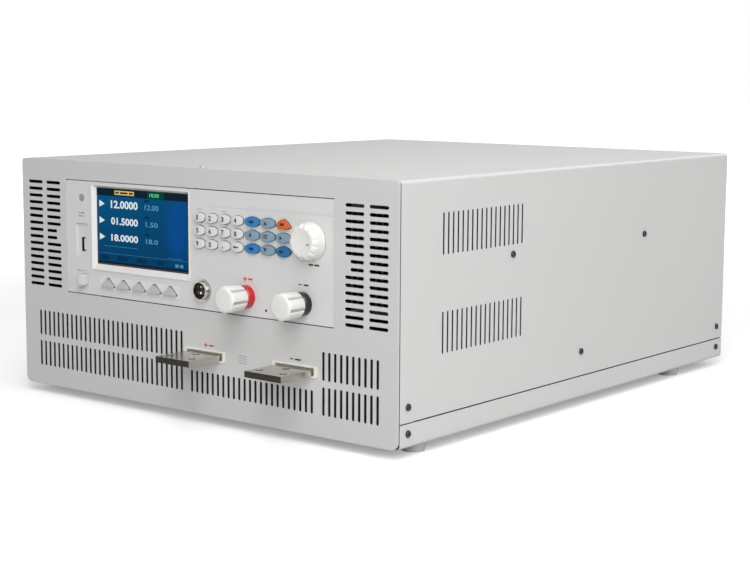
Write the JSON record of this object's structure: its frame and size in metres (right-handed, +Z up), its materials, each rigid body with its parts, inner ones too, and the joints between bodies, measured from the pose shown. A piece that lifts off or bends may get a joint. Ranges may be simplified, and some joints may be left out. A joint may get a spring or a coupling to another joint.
{
  "type": "dc electronic load",
  "caption": "Full-width bench DC electronic load: display, oval keypad and knob on a moulded panel, binding posts and projecting bus bars in a slotted steel case.",
  "frame": {"origin": "on the ground plane, under the centre of the whole part's box, bars and rear stud included", "axes": "+X to the right seen from the front, +Y from the front panel to the back, +Z up"},
  "size_m": [0.4336, 0.576, 0.2138],
  "materials": {
    "shell": "satin light grey",
    "panel": "satin grey",
    "bezel": "fine matt grey",
    "white_plastic": "satin warm white",
    "grey_plastic": "satin grey",
    "screen": "gloss, lit blue",
    "circuit_board": "solder mask",
    "bright_metal": "bright plated",
    "nickel": "nickel plated",
    "black_plastic": "satin black",
    "red_plastic": "gloss red",
    "key_blue": "satin blue",
    "key_pale": "satin pale blue",
    "key_orange": "satin orange",
    "aluminium": "extruded",
    "rubber": "matt",
    "dark_steel": "black oxide"
  },
  "bodies": {
    "case": {"chassis_tray": "shell", "top_cover": "shell", "front_panel": "panel", "rear_panel": "shell", "control_bezel": "bezel", "display_frame": "white_plastic", "display_module": "screen", "key_board": "circuit_board", "usb_port": "bright_metal", "encoder": "bright_metal", "sense_connector": "bright_metal", "sense_insert": "black_plastic", "post_collar_positive": "red_plastic", "post_collar_negative": "black_plastic", "post_studs": "nickel", "busbar_positive": "nickel", "busbar_negative": "nickel", "bar_guides": "white_plastic", "heat_sinks": "aluminium", "load_boards": "circuit_board", "aux_supply": "circuit_board", "fan_frames": "black_plastic", "mains_inlet": "black_plastic", "serial_port": "bright_metal", "feet": "rubber", "screws": "dark_steel"},
    "key_1": {"key_1": "white_plastic"},
    "key_2": {"key_2": "white_plastic"},
    "key_3": {"key_3": "white_plastic"},
    "key_4": {"key_4": "white_plastic"},
    "key_5": {"key_5": "white_plastic"},
    "key_6": {"key_6": "white_plastic"},
    "key_7": {"key_7": "white_plastic"},
    "key_8": {"key_8": "white_plastic"},
    "key_9": {"key_9": "white_plastic"},
    "key_0": {"key_0": "white_plastic"},
    "key_point": {"key_point": "white_plastic"},
    "key_back": {"key_back": "white_plastic"},
    "key_mode": {"key_mode": "key_blue"},
    "key_up": {"key_up": "key_pale"},
    "key_load": {"key_load": "key_orange"},
    "key_left": {"key_left": "key_pale"},
    "key_menu": {"key_menu": "key_pale"},
    "key_right": {"key_right": "key_pale"},
    "key_save": {"key_save": "key_blue"},
    "key_down": {"key_down": "key_pale"},
    "key_enter": {"key_enter": "key_blue"},
    "soft_key_1": {"soft_key_1": "grey_plastic"},
    "soft_key_2": {"soft_key_2": "grey_plastic"},
    "soft_key_3": {"soft_key_3": "grey_plastic"},
    "soft_key_4": {"soft_key_4": "grey_plastic"},
    "soft_key_5": {"soft_key_5": "grey_plastic"},
    "power_button": {"power_button": "white_plastic"},
    "adjust_knob": {"adjust_knob": "white_plastic"},
    "rotor_left": {"fan_rotor_left": "black_plastic"},
    "rotor_right": {"fan_rotor_right": "black_plastic"},
    "washer_positive": {"clamp_washer_positive": "nickel"},
    "cap_positive": {"post_cap_positive": "white_plastic"},
    "washer_negative": {"clamp_washer_negative": "nickel"},
    "cap_negative": {"post_cap_negative": "white_plastic"}
  },
  "joints": [
    {"name": "press_key_1", "type": "slide", "parent": "case", "child": "key_1", "axis": [0, 1, 0], "range_m": [0, 0.0008], "stiffness_N_per_m": 400},
    {"name": "press_key_2", "type": "slide", "parent": "case", "child": "key_2", "axis": [0, 1, 0], "range_m": [0, 0.0008], "stiffness_N_per_m": 400},
    {"name": "press_key_3", "type": "slide", "parent": "case", "child": "key_3", "axis": [0, 1, 0], "range_m": [0, 0.0008], "stiffness_N_per_m": 400},
    {"name": "press_key_4", "type": "slide", "parent": "case", "child": "key_4", "axis": [0, 1, 0], "range_m": [0, 0.0008], "stiffness_N_per_m": 400},
    {"name": "press_key_5", "type": "slide", "parent": "case", "child": "key_5", "axis": [0, 1, 0], "range_m": [0, 0.0008], "stiffness_N_per_m": 400},
    {"name": "press_key_6", "type": "slide", "parent": "case", "child": "key_6", "axis": [0, 1, 0], "range_m": [0, 0.0008], "stiffness_N_per_m": 400},
    {"name": "press_key_7", "type": "slide", "parent": "case", "child": "key_7", "axis": [0, 1, 0], "range_m": [0, 0.0008], "stiffness_N_per_m": 400},
    {"name": "press_key_8", "type": "slide", "parent": "case", "child": "key_8", "axis": [0, 1, 0], "range_m": [0, 0.0008], "stiffness_N_per_m": 400},
    {"name": "press_key_9", "type": "slide", "parent": "case", "child": "key_9", "axis": [0, 1, 0], "range_m": [0, 0.0008], "stiffness_N_per_m": 400},
    {"name": "press_key_0", "type": "slide", "parent": "case", "child": "key_0", "axis": [0, 1, 0], "range_m": [0, 0.0008], "stiffness_N_per_m": 400},
    {"name": "press_key_point", "type": "slide", "parent": "case", "child": "key_point", "axis": [0, 1, 0], "range_m": [0, 0.0008], "stiffness_N_per_m": 400},
    {"name": "press_key_back", "type": "slide", "parent": "case", "child": "key_back", "axis": [0, 1, 0], "range_m": [0, 0.0008], "stiffness_N_per_m": 400},
    {"name": "press_key_mode", "type": "slide", "parent": "case", "child": "key_mode", "axis": [0, 1, 0], "range_m": [0, 0.0008], "stiffness_N_per_m": 400},
    {"name": "press_key_up", "type": "slide", "parent": "case", "child": "key_up", "axis": [0, 1, 0], "range_m": [0, 0.0008], "stiffness_N_per_m": 400},
    {"name": "press_key_load", "type": "slide", "parent": "case", "child": "key_load", "axis": [0, 1, 0], "range_m": [0, 0.0008], "stiffness_N_per_m": 400},
    {"name": "press_key_left", "type": "slide", "parent": "case", "child": "key_left", "axis": [0, 1, 0], "range_m": [0, 0.0008], "stiffness_N_per_m": 400},
    {"name": "press_key_menu", "type": "slide", "parent": "case", "child": "key_menu", "axis": [0, 1, 0], "range_m": [0, 0.0008], "stiffness_N_per_m": 400},
    {"name": "press_key_right", "type": "slide", "parent": "case", "child": "key_right", "axis": [0, 1, 0], "range_m": [0, 0.0008], "stiffness_N_per_m": 400},
    {"name": "press_key_save", "type": "slide", "parent": "case", "child": "key_save", "axis": [0, 1, 0], "range_m": [0, 0.0008], "stiffness_N_per_m": 400},
    {"name": "press_key_down", "type": "slide", "parent": "case", "child": "key_down", "axis": [0, 1, 0], "range_m": [0, 0.0008], "stiffness_N_per_m": 400},
    {"name": "press_key_enter", "type": "slide", "parent": "case", "child": "key_enter", "axis": [0, 1, 0], "range_m": [0, 0.0008], "stiffness_N_per_m": 400},
    {"name": "press_soft_key_1", "type": "slide", "parent": "case", "child": "soft_key_1", "axis": [0, 1, 0], "range_m": [0, 0.0008], "stiffness_N_per_m": 400},
    {"name": "press_soft_key_2", "type": "slide", "parent": "case", "child": "soft_key_2", "axis": [0, 1, 0], "range_m": [0, 0.0008], "stiffness_N_per_m": 400},
    {"name": "press_soft_key_3", "type": "slide", "parent": "case", "child": "soft_key_3", "axis": [0, 1, 0], "range_m": [0, 0.0008], "stiffness_N_per_m": 400},
    {"name": "press_soft_key_4", "type": "slide", "parent": "case", "child": "soft_key_4", "axis": [0, 1, 0], "range_m": [0, 0.0008], "stiffness_N_per_m": 400},
    {"name": "press_soft_key_5", "type": "slide", "parent": "case", "child": "soft_key_5", "axis": [0, 1, 0], "range_m": [0, 0.0008], "stiffness_N_per_m": 400},
    {"name": "press_power", "type": "slide", "parent": "case", "child": "power_button", "axis": [0, 1, 0], "range_m": [0, 0.003], "stiffness_N_per_m": 250},
    {"name": "turn_knob", "type": "hinge", "parent": "case", "child": "adjust_knob", "pos_m": [0.1293, -0.25, 0.1613], "axis": [0, -1, 0], "continuous": true},
    {"name": "spin_fan_left", "type": "hinge", "parent": "case", "child": "rotor_left", "pos_m": [-0.066, 0.2645, 0.1211], "axis": [0, 1, 0], "continuous": true},
    {"name": "spin_fan_right", "type": "hinge", "parent": "case", "child": "rotor_right", "pos_m": [0.066, 0.2645, 0.1211], "axis": [0, 1, 0], "continuous": true},
    {"name": "unscrew_slide_positive", "type": "slide", "parent": "case", "child": "washer_positive", "axis": [0, -1, 0], "range_m": [0, 0.005]},
    {"name": "unscrew_turn_positive", "type": "hinge", "parent": "washer_positive", "child": "cap_positive", "pos_m": [0.0605, -0.265, 0.1115], "axis": [0, -1, 0], "range_deg": [0, 1440]},
    {"name": "unscrew_slide_negative", "type": "slide", "parent": "case", "child": "washer_negative", "axis": [0, -1, 0], "range_m": [0, 0.005]},
    {"name": "unscrew_turn_negative", "type": "hinge", "parent": "washer_negative", "child": "cap_negative", "pos_m": [0.1207, -0.265, 0.1115], "axis": [0, -1, 0], "range_deg": [0, 1440]}
  ],
  "couplings": [
    {"joint": "unscrew_turn_positive", "follows": "unscrew_slide_positive", "rad_per_m": 5026.5},
    {"joint": "unscrew_turn_negative", "follows": "unscrew_slide_negative", "rad_per_m": 5026.5}
  ]
}
